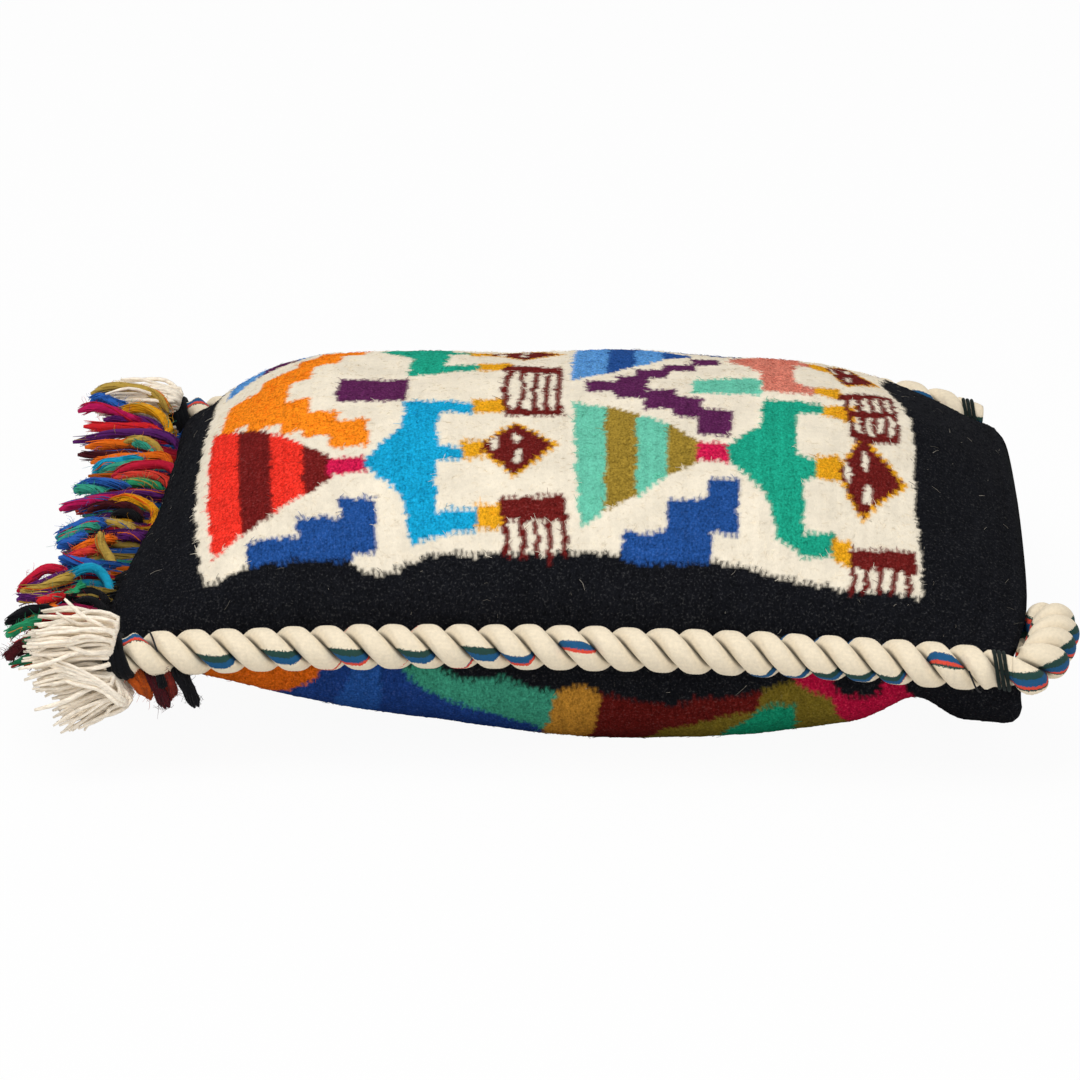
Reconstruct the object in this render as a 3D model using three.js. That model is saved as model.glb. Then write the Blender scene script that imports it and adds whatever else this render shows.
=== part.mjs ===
// A hand-woven wool shoulder bag with rope edges, lying on its back and filled out to a pillow.
// +X runs from the bottom seam to the mouth, +Y across the bag and +Z up from what it lies on.
import * as THREE from 'three';
import { LoftGeometry } from 'three/addons/geometries/LoftGeometry.js';

// Driving dimensions, in millimetres
const bagLength = 340;
const bottomWidth = 252;
const mouthWidth = 268;
const clothThickness = 4;
const hemDepth = 24;
const seamHeight = 53;
const seamDroop = 4.5;
const leftSeamLift = 7.5;
const sidePullIn = 5;
const crownHeight = 58;
const crownRise = 68;
const crownFallStart = 219;
const frontLipHeight = 19;
const bellyDepth = 63;
const bellyRise = 200;
const bellyFallStart = 170;
const backLipDepth = 43;
const waistPlace = 297;
const waistDepth = 12;
const waistSpan = 15;
const cornerSetBack = 8;
const ropeDiameter = 17;
const ropeLead = 25.1;
const ropeLayStart = -3.7;
const mouthTieSetBack = 15;
const whippingWidth = 6;
const whippingThickness = 2.2;
const tasselLength = 38;
const tasselSpread = 42;
const tasselDroop = 9;
const tuftCount = 18;
const tuftLength = 44;
const tuftDroop = 15;
const pieceGap = 0.3;

// Section counts and shape exponents
const bottomFullness = 2;
const mouthFullness = 1.4;
const mouthFullnessStart = 170;
const backFullness = 3.2;
const crownFallPower = 3.1;
const riseFullness = 1.6;
const panelStations = 20;
const panelArcSteps = 14;
const ropeRadius = ropeDiameter / 2;
const neckRadius = ropeRadius - whippingThickness;

// How far along the bag and across it a side seam lies
const endness = (s) => (2 * s / bagLength - 1) ** 2;
const seamZ = (s) => seamHeight - seamDroop * endness(s);
const leftLift = (s) => leftSeamLift
  * THREE.MathUtils.smoothstep(s, 200, 285) * (1 - THREE.MathUtils.smoothstep(s, 292, 336));
const seamSpread = (s) => THREE.MathUtils.lerp(bottomWidth, mouthWidth, s / bagLength) / 2;
const halfWidth = (s) => seamSpread(s) - sidePullIn * (1 - endness(s));

// A quarter-round rise from 0 to 1, and a smooth step from 0 to 1
function roundRise(u) {
  const rest = 1 - THREE.MathUtils.clamp(u, 0, 1);
  return (1 - rest ** riseFullness) ** (1 / riseFullness);
}

const crownFall = (s) =>
  (Math.max(0, s - crownFallStart) / (bagLength - crownFallStart)) ** crownFallPower;
const crownAt = (s) => clothThickness
  + (crownHeight - clothThickness) * roundRise(s / crownRise)
  - (crownHeight - frontLipHeight) * crownFall(s);
const bellyAt = (s) => clothThickness
  + (bellyDepth - clothThickness) * roundRise(s / bellyRise)
  - (bellyDepth - backLipDepth) * THREE.MathUtils.smoothstep(s, bellyFallStart, bagLength)
  - waistDepth * Math.exp(-(((s - waistPlace) / waistSpan) ** 2));

// The front section draws to a flatter lens towards the mouth, and the back stays boxy
const frontFullness = (s) => THREE.MathUtils.lerp(
  bottomFullness, mouthFullness, THREE.MathUtils.smoothstep(s, mouthFullnessStart, bagLength));

// The mouth edge draws back where the ropes pull its corners
const hemShare = (s) => THREE.MathUtils.clamp(1 - (bagLength - s) / hemDepth, 0, 1);

// One arc of a panel's section, from the +Y seam to the -Y seam
function panelArc(s, halfSpan, rise, fullness, side, floorZ) {
  const points = [];
  for (let j = 0; j <= panelArcSteps; j++) {
    const angle = Math.PI * j / panelArcSteps;
    const across = Math.abs(Math.cos(angle)) ** (2 / fullness) * Math.sign(Math.cos(angle));
    const up = Math.abs(Math.sin(angle)) ** (2 / fullness);
    const seam = seamZ(s) + leftLift(s) * Math.max(0, across) ** 2;
    const z = seam + side * (pieceGap / 2 + rise * up);
    const setBack = cornerSetBack * hemShare(s) * across ** 8;
    points.push(new THREE.Vector3(s - setBack, halfSpan * across, Math.max(z, floorZ)));
  }
  return points;
}

// A panel is a curved sheet of cloth with a turned-in double hem at the mouth
function panelGeometry(riseAt, fullnessAt, side) {
  const stations = [];
  for (let i = 0; i <= panelStations; i++) {
    const share = (1 - Math.cos(Math.PI * i / panelStations)) / 2;
    stations.push({ s: (bagLength - hemDepth) * share, wall: clothThickness });
  }
  stations.push({ s: bagLength - hemDepth + 1, wall: 2 * clothThickness });
  stations.push({ s: bagLength - hemDepth / 2, wall: 2 * clothThickness });
  stations.push({ s: bagLength, wall: 2 * clothThickness });
  const sections = stations.map(({ s, wall }) => {
    const rise = riseAt(s);
    const fullness = fullnessAt(s);
    const span = halfWidth(s - cornerSetBack * hemShare(s));
    const outer = panelArc(s, span, rise, fullness, side, 0);
    const inner = panelArc(s, span - wall, Math.max(rise - wall, 0), fullness, side, wall);
    const loop = outer.concat(inner.reverse());
    return side > 0 ? loop : loop.reverse();
  });
  return new LoftGeometry(sections, { capStart: true, capEnd: true });
}

// The line of an edge rope, just outside the side seam
const ropeLine = (s, side) => new THREE.Vector3(
  s,
  side * (halfWidth(THREE.MathUtils.clamp(s, 0, bagLength)) + ropeRadius + pieceGap),
  seamZ(s) + (side > 0 ? leftLift(s) : 0));

// Two plies laid together make a section of two lobes, which turns with the lay of the rope
function twoPlyRadius(angle) {
  const plyRadius = 0.54;
  const plyOffset = 0.46;
  const reach = plyRadius ** 2 - (plyOffset * Math.sin(angle)) ** 2;
  return plyOffset * Math.abs(Math.cos(angle)) + Math.sqrt(reach);
}

function ropeSection(s, side, radius) {
  const lobes = 12;
  const turn = 2 * Math.PI * (s - ropeLayStart) / ropeLead;
  const centre = ropeLine(s, side);
  const section = [];
  for (let j = 0; j < lobes; j++) {
    const angle = 2 * Math.PI * j / lobes;
    const r = radius * twoPlyRadius(angle);
    section.push(new THREE.Vector3(
      centre.x, centre.y + r * Math.cos(angle + turn), centre.z + r * Math.sin(angle + turn)));
  }
  return section;
}

// An edge rope narrows to a neck inside the whipping at each end
const bottomNeck = -whippingWidth - 2 * pieceGap;
const mouthNeck = bagLength - mouthTieSetBack;
const mouthNeckEnd = mouthNeck + whippingWidth + 2 * pieceGap;
function ropeGeometry(side) {
  const sections = [];
  sections.push(ropeSection(bottomNeck, side, neckRadius));
  sections.push(ropeSection(-pieceGap, side, neckRadius));
  const steps = Math.round(mouthNeck / ropeLead * 7);
  for (let i = 0; i <= steps; i++) {
    sections.push(ropeSection(mouthNeck * i / steps, side, ropeRadius));
  }
  sections.push(ropeSection(mouthNeck + pieceGap, side, neckRadius));
  sections.push(ropeSection(mouthNeckEnd, side, neckRadius));
  return new LoftGeometry(sections, { capStart: true, capEnd: true });
}

// A whipping is a close coil of yarn, drawn as one ring round a rope's neck
function whippingGeometry(middle, side) {
  const inner = neckRadius + pieceGap;
  const half = whippingWidth / 2 - pieceGap;
  const profile = [
    new THREE.Vector2(inner, -half),
    new THREE.Vector2(ropeRadius - 0.7, -half),
    new THREE.Vector2(ropeRadius, -half / 2),
    new THREE.Vector2(ropeRadius, half / 2),
    new THREE.Vector2(ropeRadius - 0.7, half),
    new THREE.Vector2(inner, half),
    new THREE.Vector2(inner, -half),
  ];
  const ring = new THREE.LatheGeometry(profile, 14);
  ring.rotateZ(-Math.PI / 2);
  const centre = ropeLine(middle, side);
  ring.translate(centre.x, centre.y, centre.z);
  return ring;
}

// A fluted bundle of strings or yarns along a list of centres, wide and high half-sizes
function bundleGeometry(stations, flutes, fluteDepth) {
  const sections = stations.map(({ x, y, z, wide, high, lean }) => {
    const section = [];
    const count = 2 * flutes;
    for (let j = count - 1; j >= 0; j--) {
      const angle = 2 * Math.PI * j / count;
      const r = j % 2 === 0 ? 1 : 1 - fluteDepth;
      const rise = high * r * Math.sin(angle);
      section.push(new THREE.Vector3(
        x + rise * Math.sin(lean), y + wide * r * Math.cos(angle), z + rise * Math.cos(lean)));
    }
    return section;
  });
  return new LoftGeometry(sections, { capStart: true, capEnd: true });
}

// A rope tassel opens like a fan below its whipping and hangs down a little
function tasselGeometry(side) {
  const root = ropeLine(bottomNeck - pieceGap, side);
  const stations = [];
  const steps = 6;
  for (let i = 0; i <= steps; i++) {
    const u = i / steps;
    stations.push({
      x: root.x - tasselLength * u,
      y: root.y + side * 3 * u,
      z: root.z - tasselDroop * u * u,
      wide: neckRadius + (tasselSpread / 4 - neckRadius) * u,
      high: neckRadius + (tasselSpread / 2 - neckRadius) * Math.sin(Math.PI / 2 * u),
      lean: -0.5 * u,
    });
  }
  return bundleGeometry(stations, 10, 0.16);
}

// A fringe tuft is a hank of yarn knotted to the bottom seam, each hanging a little differently
const tuftPitch = (bottomWidth - ropeDiameter) / tuftCount;
function tuftGeometry(index) {
  const y = tuftPitch * (index - (tuftCount - 1) / 2);
  const sway = Math.sin(2.4 * index);
  const halfLane = tuftPitch / 2 - pieceGap;
  const stations = [];
  const steps = 6;
  for (let i = 0; i <= steps; i++) {
    const u = i / steps;
    const swell = Math.sin(Math.PI * Math.min(1, 0.25 + u));
    stations.push({
      x: -pieceGap - (tuftLength + 3 * sway) * u,
      y,
      z: seamZ(0) + 5 * Math.sin(Math.PI * u) - (tuftDroop + 5 * sway) * u * u,
      wide: halfLane * (0.8 + 0.2 * u),
      high: clothThickness + 3.5 * swell,
      lean: -0.6 * u,
    });
  }
  return bundleGeometry(stations, 5, 0.18);
}

// The strap leaves the right mouth corner, turns into the mouth, lies folded on the cloth inside
// and ends sewn inside the left mouth corner. Its points are chosen by hand.
function strapLine() {
  const start = ropeLine(mouthNeckEnd + 2 * pieceGap, -1);
  const route = [
    [start.x, start.y, start.z],
    [bagLength - 2.6, start.y + 0.2, start.z + 0.1],
    [bagLength + 3, -136.8, 50],
    [bagLength + 6.6, -126, 51.2],
    [bagLength + 9, -114, 51.4],
    [bagLength + 10, -103.5, 51],
    [bagLength + 6.8, -93.5, 48.2],
    [bagLength + 0.8, -86, 43.6],
    [333.5, -82, 41],
    [325, -80.5, 40.2],
    [296, -84, 36.5],
    [262, -87, 24],
    [225, -88, 14.5],
    [190, -86, 13.5],
    [166, -78, 13.5],
    [156, -58, 13.5],
    [166, -38, 13.5],
    [190, -30, 13.5],
    [222, -30, 13.5],
    [250, -25, 13.5],
    [264, 0, 14],
    [250, 25, 13.5],
    [222, 30, 13.5],
    [190, 30, 13.5],
    [166, 38, 13.5],
    [156, 58, 13.5],
    [166, 78, 13.5],
    [190, 86, 13.5],
    [225, 85, 15.5],
    [262, 84, 26.5],
    [292, 86, 40],
    [310, 94, 43],
    [317, 106, 43.5],
    [319, 115, 43.5],
  ];
  return new THREE.CatmullRomCurve3(route.map(([x, y, z]) => new THREE.Vector3(x, y, z)));
}

function strapGeometry() {
  const round = new THREE.Shape();
  const sides = 8;
  for (let j = 0; j < sides; j++) {
    const angle = 2 * Math.PI * j / sides;
    const point = new THREE.Vector2(Math.cos(angle), Math.sin(angle)).multiplyScalar(ropeRadius);
    if (j === 0) {
      round.moveTo(point.x, point.y);
    } else {
      round.lineTo(point.x, point.y);
    }
  }
  round.closePath();
  return new THREE.ExtrudeGeometry(round, { steps: 60, extrudePath: strapLine(), bevelEnabled: false });
}

// Wool and cord as they look, in plain colours
const blackWool = '#17181c';
const creamCord = '#eee0c6';
const fringeWools = ['#b3232b', '#d98a2b', '#3f8f6f', '#5d2a5e', '#2f6fa8', '#c9b23a'];

const bag = new THREE.Group();
function addPiece(name, geometry, colour) {
  const material = new THREE.MeshStandardMaterial({ color: colour, roughness: 0.95, metalness: 0 });
  const piece = new THREE.Mesh(geometry, material);
  piece.name = name;
  bag.add(piece);
  return piece;
}

addPiece('front_panel', panelGeometry(crownAt, frontFullness, 1), '#ece6da');
addPiece('back_panel', panelGeometry(bellyAt, () => backFullness, -1), blackWool);
for (const [name, side] of [['right', -1], ['left', 1]]) {
  addPiece(`${name}_edge_rope`, ropeGeometry(side), creamCord);
  addPiece(`${name}_bottom_whipping`, whippingGeometry(-whippingWidth / 2 - pieceGap, side), blackWool);
  addPiece(`${name}_mouth_whipping`,
    whippingGeometry(mouthNeck + whippingWidth / 2 + pieceGap, side), blackWool);
  addPiece(`${name}_rope_tassel`, tasselGeometry(side), creamCord);
}
for (let index = 0; index < tuftCount; index++) {
  const number = String(index + 1).padStart(2, '0');
  addPiece(`fringe_tuft_${number}`, tuftGeometry(index), fringeWools[index % fringeWools.length]);
}

// The origin is the middle of the underside of everything but the free strap
const fixedBox = new THREE.Box3().setFromObject(bag);
addPiece('shoulder_strap', strapGeometry(), creamCord);
bag.position.set(-(fixedBox.min.x + fixedBox.max.x) / 2, 0, -fixedBox.min.z);

const shoulderBag = new THREE.Group();
shoulderBag.name = 'woven_shoulder_bag';
shoulderBag.add(bag);

export default shoulderBag;
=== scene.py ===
import math

import bpy
import numpy as np
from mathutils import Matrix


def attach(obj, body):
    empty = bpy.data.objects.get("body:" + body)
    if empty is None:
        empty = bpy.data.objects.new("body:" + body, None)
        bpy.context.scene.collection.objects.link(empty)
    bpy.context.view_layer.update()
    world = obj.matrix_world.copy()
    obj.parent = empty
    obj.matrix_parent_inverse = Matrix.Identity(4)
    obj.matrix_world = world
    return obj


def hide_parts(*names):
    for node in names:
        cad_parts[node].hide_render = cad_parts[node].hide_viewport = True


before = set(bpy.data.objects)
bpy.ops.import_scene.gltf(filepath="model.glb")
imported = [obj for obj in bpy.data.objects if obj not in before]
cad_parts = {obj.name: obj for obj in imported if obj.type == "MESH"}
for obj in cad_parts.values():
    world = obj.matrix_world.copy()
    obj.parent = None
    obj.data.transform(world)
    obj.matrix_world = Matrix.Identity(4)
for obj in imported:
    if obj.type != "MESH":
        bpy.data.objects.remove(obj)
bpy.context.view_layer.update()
bpy.ops.object.select_all(action="DESELECT")
scene = bpy.context.scene

# ---------------------------------------------------------------------------------------------
# Front panel. A rectangle of hand-woven wool tapestry, 290 by 360 mm, with a black border and two
# rows of figures on a white ground. It is sewn to the back panel at both sides and along the
# bottom, its mouth edge is turned in, and the filling holds it up like a pillow.
# ---------------------------------------------------------------------------------------------
bag_length, hem_depth, corner_set_back = 340.0, 24.0, 8.0
bottom_width, mouth_width, side_pull_in = 252, 268, 5
seam_height, seam_droop, left_seam_lift = 53, 4.5, 7.5
edge_height, crown_height, lip_height = 4, 58, 19
crown_run, crown_fall_start, crown_fall_power = 68, 219, 3.1
cloth_wall, hem_wall, hem_fold = 3.2, 5.6, (314, 318)
half_seam_gap, least_rise, rise_fullness = 0.15, 0.3, 1.6
front_wide, front_long = 290, 360
pucker_pitch, pucker_reach, dovetail = 27.3, 16, 0.95
weft_rows, warp_columns, reverse_columns = 330, 232, 24
row_origin = np.array([142.76, 0.0, 0.0])
rng = np.random.default_rng(7)


def ease(s, start, end):
    share = np.clip((s - start) / (end - start), 0, 1)
    return share * share * (3 - 2 * share)


def round_rise(share):
    return (1 - (1 - np.clip(share, 0, 1)) ** rise_fullness) ** (1 / rise_fullness)


def end_share(s):
    return (2 * s / bag_length - 1) ** 2


def seam_z(s):
    return seam_height - seam_droop * end_share(s)


def left_lift(s):
    return left_seam_lift * ease(s, 200, 285) * (1 - ease(s, 292, 336))


def half_width(s):
    spread = bottom_width + (mouth_width - bottom_width) * s / bag_length
    return spread / 2 - side_pull_in * (1 - end_share(s))


def front_rise(s):
    fall = np.maximum(0, s - crown_fall_start) / (bag_length - crown_fall_start)
    return (edge_height + (crown_height - edge_height) * round_rise(s / crown_run)
            - (crown_height - lip_height) * fall ** crown_fall_power)


def front_fullness(s):
    return 2 - 0.6 * ease(s, 170, bag_length)


def even_steps(line, count):
    """The same line drawn again with points at even steps along it."""
    run = np.concatenate([[0], np.cumsum(np.linalg.norm(np.diff(line, axis=0), axis=1))])
    steps = np.linspace(0, run[-1], count)
    return np.stack([np.interp(steps, run, line[:, k]) for k in range(3)], axis=1)


def cloth_face(rise_at, fullness_at, side, columns, inset):
    """One face of a panel in even steps of cloth: bottom seam to mouth, right seam to left seam."""
    angle = np.linspace(np.pi, 0, 361)
    sections = []
    for s in np.linspace(0, bag_length, 181):
        fullness = fullness_at(s)
        across = np.sign(np.cos(angle)) * np.abs(np.cos(angle)) ** (2 / fullness)
        up = np.abs(np.sin(angle)) ** (2 / fullness)
        hem = np.clip(1 - (bag_length - s) / hem_depth, 0, 1)
        wall = inset * (cloth_wall + (hem_wall - cloth_wall) * ease(s, *hem_fold))
        x = s - corner_set_back * hem * across ** 8
        y = (half_width(s - corner_set_back * hem) - wall) * across
        seam = seam_z(s) + left_lift(s) * np.maximum(0, across) ** 2
        z = seam + side * (half_seam_gap + np.maximum(rise_at(s) - wall, least_rise) * up)
        sections.append(even_steps(np.stack([x, y, np.maximum(z, wall)], axis=1), columns + 1))
    sections = np.array(sections)
    return np.stack([even_steps(sections[:, j], weft_rows + 1) for j in range(columns + 1)], axis=1)


def face_normals(grid, side):
    normal = np.cross(np.gradient(grid, axis=0), np.gradient(grid, axis=1)) * side
    return normal / np.maximum(np.linalg.norm(normal, axis=2, keepdims=True), 1e-9)


def settle(grid, side, give):
    """Lets the cloth pucker where the rope is sewn on, dent over its filling and pull at the fringe."""
    rows, columns = grid.shape[:2]
    along = np.linspace(0, front_long, rows)[:, None]
    across = np.linspace(-front_wide / 2, front_wide / 2, columns)[None, :]
    from_seam = front_wide / 2 - np.abs(across)
    ends = np.minimum(1, np.minimum(along, front_long - along) / 14)
    sides = np.minimum(1, from_seam / 10)
    pucker = np.exp(-from_seam / pucker_reach) * (np.sin(2 * np.pi * along / pucker_pitch) - 0.4)
    broad = (np.sin(along / 21 + 1.3 * np.sin(across / 34)) * np.sin(across / 27 + 0.9)
             + 0.7 * np.sin(along / 12.5 - across / 19 + 2.0))
    small = 0.5 * np.sin(along / 5.2 + across / 9.1) * np.sin(across / 6.3 - along / 11)
    move = give * ends * (0.9 * pucker + sides * (0.75 * broad + 0.3 * small))
    moved = grid + face_normals(grid, side) * move[:, :, None]
    # The bottom edge wanders with the pull of the fringe
    pull = np.interp(across, (-145, -105, -50, -15, 20, 60, 95, 145), (-4, -9, -4, 0, 1.5, 1.5, 0, 0))
    moved[:, :, 0] += pull * (1 - ease(along, 0, 34))
    if side < 0:
        # The lower lip lies back in the middle and comes out at its rounded corners
        lip = np.interp(np.abs(across), (0, 92, 102, 112, 125, 145), (-8, -8, -5.5, -0.5, 3.5, 5))
        moved[:, :, 0] += lip * ease(along, 318, front_long)
    return moved


def linear(hex_colour):
    parts = np.array([int(hex_colour[i:i + 2], 16) for i in (1, 3, 5)]) / 255
    return np.where(parts <= 0.04045, parts / 12.92, ((parts + 0.055) / 1.055) ** 2.4)


wool = {
    "black": "#15161a", "white": "#efe4cf", "red": "#ed3427", "maroon": "#6e1c1b",
    "brown": "#691d1b", "sky": "#169dca", "green": "#1e9f82", "mint": "#69c2a7",
    "olive": "#987d2f", "orange": "#fa8a1c", "purple": "#5a2350", "blue": "#224c8e",
    "light blue": "#5a96d2", "gold": "#e6a41f", "crimson": "#d01b4d", "salmon": "#d67e6b",
    "navy": "#1c3a78", "teal": "#3a8f74", "ochre": "#ae7a2c", "wine": "#5a1613",
    "moss": "#70601f", "leaf": "#148462", "ruby": "#ab1138", "rust": "#cc5f14",
}


def mirrored(corners, line):
    return [(u, 2 * line - v) for u, v in corners]


def block(u0, u1, v0, v1):
    return [(u0, v0), (u1, v0), (u1, v1), (u0, v1)]


def skirt(stations):
    """The four stripes of a skirt; a station is a place along the cloth and both edges there."""
    return [("skirt " + stripe, [(u0, v0), (u1, v1), (u1, w1), (u0, w0)])
            for stripe, (u0, v0, w0), (u1, v1, w1) in zip("abab", stations, stations[1:])]


# The pattern is in millimetres of cloth, from the bottom seam and from the middle of the panel.
# A figure has a striped skirt, a belt, a dress, wrists, a neck, a face, a comb and side steps
lower_skirt = skirt([(42, -3, -107.5), (55.5, -21, -99), (69, -34, -91.5), (81.5, -49, -83.6),
                     (92.5, -61, -75.5)])
lower_skirt.append(("belt", [(91, -62), (106, -62.5), (106, -71.5), (91, -73.5)]))
lower_far_skirt = skirt([(42, 48, 109), (55.5, 60, 102), (69, 70, 96), (81.5, 79, 91), (92.5, 83, 87)])
lower_figure = [
    ("dress", [(104.5, -66), (111, -53.6), (119.3, -42), (119.3, -17), (132, -18), (146, -20),
               (146, -29.5), (133, -29), (132.5, -54.5), (142, -55), (142, -63.5), (132.3, -65),
               (130.6, -94.2), (136.3, -91.8), (146.5, -91), (146.5, -102), (136.3, -104),
               (119.5, -108.5), (119.3, -98.5), (118.6, -88.5), (114.5, -80.5), (110.2, -75)]),
    ("gold", [(145.5, -17.5), (158.5, -17.5), (158.5, -29), (145.5, -29.5)]),
    ("gold", [(140.5, -50.5), (149, -50), (149, -62), (141.5, -62.5)]),
    ("gold", [(146, -89.5), (156.5, -89), (156.5, -101.5), (146, -102)]),
    ("gold", [(161.8, -35.5), (178, -53), (161, -75), (146, -55)]),
    ("brown", [(161.8, -37.3), (175.8, -53), (161.2, -72.7), (147.4, -55)]),
    ("white", block(152.2, 154.8, -56, -48)),
    ("white", block(160.2, 163, -50.5, -45)),
    ("white", block(160.8, 163.6, -64.5, -56.5)),
    ("brown", block(155.3, 180.2, -97.8, -85)),
    *[("brown", block(u0, u1, v, -97)) for u0, u1, v in (
        (155.5, 158, -114), (161.8, 164.4, -114), (167.3, 169.6, -113), (172, 174.4, -116),
        (178, 180.4, -114))],
    ("blue", [(56.5, -103.5), (77, -105), (77, -95.7), (94.5, -96), (94.5, -86), (108.6, -86.5),
              (106.3, -112), (97, -112), (96, -115.5), (56, -115.5)]),
]
lower_comb = [("brown", corners) for corners in (
    block(155.3, 178, 11.5, 20.5), block(157, 179, -30.5, -24.5),
    [(156.8, 12), (159.2, 12), (158, -6), (159, -25), (156.4, -25), (155.4, -6)],
    [(161.4, 12), (163.8, 12), (164.6, -6), (164, -25), (161.6, -25), (162.4, -6)],
    [(167, 12), (169.4, 12), (168.6, -6), (169.6, -25), (167.2, -25), (166.4, -6)],
    [(171.6, 12), (173.8, 12), (173.2, -8), (174, -25), (171.4, -25), (171, -8)],
    [(175.8, 12), (178, 12), (177.6, -6), (178.6, -25), (176.4, -25), (175.4, -6)])]
lower_chevron = [block(46, 60, -17, 28), block(59, 74.5, -28.5, 44), block(73, 84, -38.5, -10),
                 block(82, 95, -44.5, -25), block(92, 106.5, -55, -33.5), block(73, 82, 14, 57),
                 block(80, 91, 33, 68), block(89, 99, 50, 76)]
upper_skirt = [
    ("skirt a", [(182.6, -18), (195, -22.5), (195, -92), (185, -101.5)]),
    ("skirt b", [(195, -22.5), (206.7, -29), (206.7, -82.6), (195, -92)]),
    ("skirt a", [(206.7, -29), (218.2, -37), (218.2, -72), (206.7, -82.6)]),
    ("skirt b", [(218.2, -37), (229.5, -47), (231.5, -55), (229.5, -62), (218.2, -72)]),
    ("belt", block(229, 242, -61.5, -49)),
]
upper_far_skirt = skirt([(181, 5, 94), (194, 16.5, 84), (204.5, 29, 76), (215.5, 46.5, 68),
                         (226, 58, 64)])
upper_figure = [
    ("dress", [(240.2, -50.3), (252.5, -33), (253, -10), (266, -8.6), (275.5, -9.4), (275.5, -17.6),
               (266, -20.6), (266.4, -53), (274.5, -54.5), (274.5, -65), (269.5, -68.6),
               (270.5, -96), (282, -94), (282.5, -106), (271.5, -108), (260.2, -100.7),
               (258.2, -90), (255, -79), (247.4, -69), (241, -61)]),
    ("gold", [(275.4, -11), (288.2, -6.5), (288.2, -23), (275.4, -19)]),
    ("gold", [(273.8, -52.3), (282.6, -49.8), (283, -66.5), (273.8, -66)]),
    ("gold", [(281.6, -97), (288.6, -96.2), (289.4, -109.5), (282, -108)]),
    ("gold", [(291.2, -29), (310, -54), (292.2, -85.5), (281, -59)]),
    ("brown", [(291.3, -31.4), (307.6, -54.2), (292.2, -82.6), (282.3, -59.2)]),
    ("white", block(284.8, 286.8, -63, -53)),
    ("white", block(291, 293.6, -53, -42)),
    ("white", block(292.8, 295.6, -73.5, -62.5)),
    ("brown", [(288.5, -101), (314.2, -96), (315.3, -108.3), (289, -111)]),
    *[("brown", block(u, u + 2.4, v0, v1)) for u, v0, v1 in (
        (289.6, -122, -109), (294.8, -122, -108), (300, -121.5, -107), (305.4, -121, -106),
        (311.2, -120.5, -105))],
    ("blue", [(201, -101.5), (218, -101), (218, -85), (233.6, -84), (233.6, -72.5), (245.2, -71.5),
              (245.4, -102), (235.5, -102), (235.5, -115), (201, -115)]),
]
upper_comb = [("brown", corners) for corners in (
    [(281.4, -3), (303, 14), (303, 22), (281.4, 4.5)],
    [(288, -37), (305.4, -27), (305.4, -21), (288, -30)],
    [(285, -17), (304.5, -6), (304.5, -1.5), (285, -12)],
    [(283, 1), (285.4, 2), (289, -34), (286.6, -34)],
    [(287.4, 5), (289.8, 6), (293.4, -32), (291, -32)],
    [(292, 9), (294.4, 10), (297.6, -29), (295.2, -29)],
    [(296.6, 12), (299, 13), (301.8, -26), (299.4, -26)],
    [(300.8, 15), (303, 16), (305.6, -24), (303.4, -24)])]
upper_chevron = [block(187, 199, -7, 6), block(198, 210, -14, 14), block(209, 221, -25.5, -5),
                 block(219.5, 230.5, -31, -12), block(229, 242, -43, -22), block(205, 217.5, 12, 26),
                 block(215.5, 228, 23, 36), block(226, 237, 34, 50)]

# The white ground, drawn round from the far bottom corner
front_shapes = [("white", [
    (36.5, 112), (36.5, -121), (42, -120), (52, -116), (57, -115.5), (96, -115.5), (98, -118.5),
    (107, -120), (116, -117.5), (128, -113), (200, -112), (215, -114.5), (240, -114), (262, -118),
    (290, -121), (318, -120), (313, -65), (312, -25), (307.5, 8), (301.4, 51), (304, 80), (309, 112)])]


def add_row(near_figure, near, far_figure, far, comb, chevron, chevron_wool, bar, bar_wool):
    """Two figures that face each other over a shared comb, with a stepped chevron between them."""
    for part, corners in far_figure:
        front_shapes.append((far.get(part, part), corners))
    for corners in chevron:
        front_shapes.append((chevron_wool, corners))
    front_shapes.append((bar_wool, bar))
    for part, corners in near_figure:
        front_shapes.append((near.get(part, part), corners))
    front_shapes.extend(comb)


add_row(lower_skirt + lower_figure,
        {"skirt a": "red", "skirt b": "maroon", "belt": "crimson", "dress": "sky"},
        lower_far_skirt + [(part, mirrored(corners, -2)) for part, corners in lower_figure],
        {"skirt a": "light blue", "skirt b": "purple", "dress": "green"},
        lower_comb, lower_chevron, "orange", block(93.5, 120, -16, 9), "purple")
add_row(upper_skirt + upper_figure,
        {"skirt a": "mint", "skirt b": "olive", "belt": "crimson", "dress": "green"},
        upper_far_skirt + [(part, [(min(u, 52.4 + 0.8 * u), v) for u, v in mirrored(corners, -5)])
                           for part, corners in upper_figure],
        {"skirt a": "light blue", "skirt b": "blue", "dress": "salmon"},
        upper_comb, upper_chevron, "purple",
        [(226.8, -8), (252.3, -5), (252.5, 13), (226.8, 9.5)], "mint")


def inside(corners, u, v):
    hit = np.zeros(u.shape, bool)
    for (u0, v0), (u1, v1) in zip(corners, corners[1:] + corners[:1]):
        if v0 != v1:
            hit ^= ((v0 > v) != (v1 > v)) & (u < u0 + (u1 - u0) * (v - v0) / (v1 - v0))
    return hit


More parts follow.
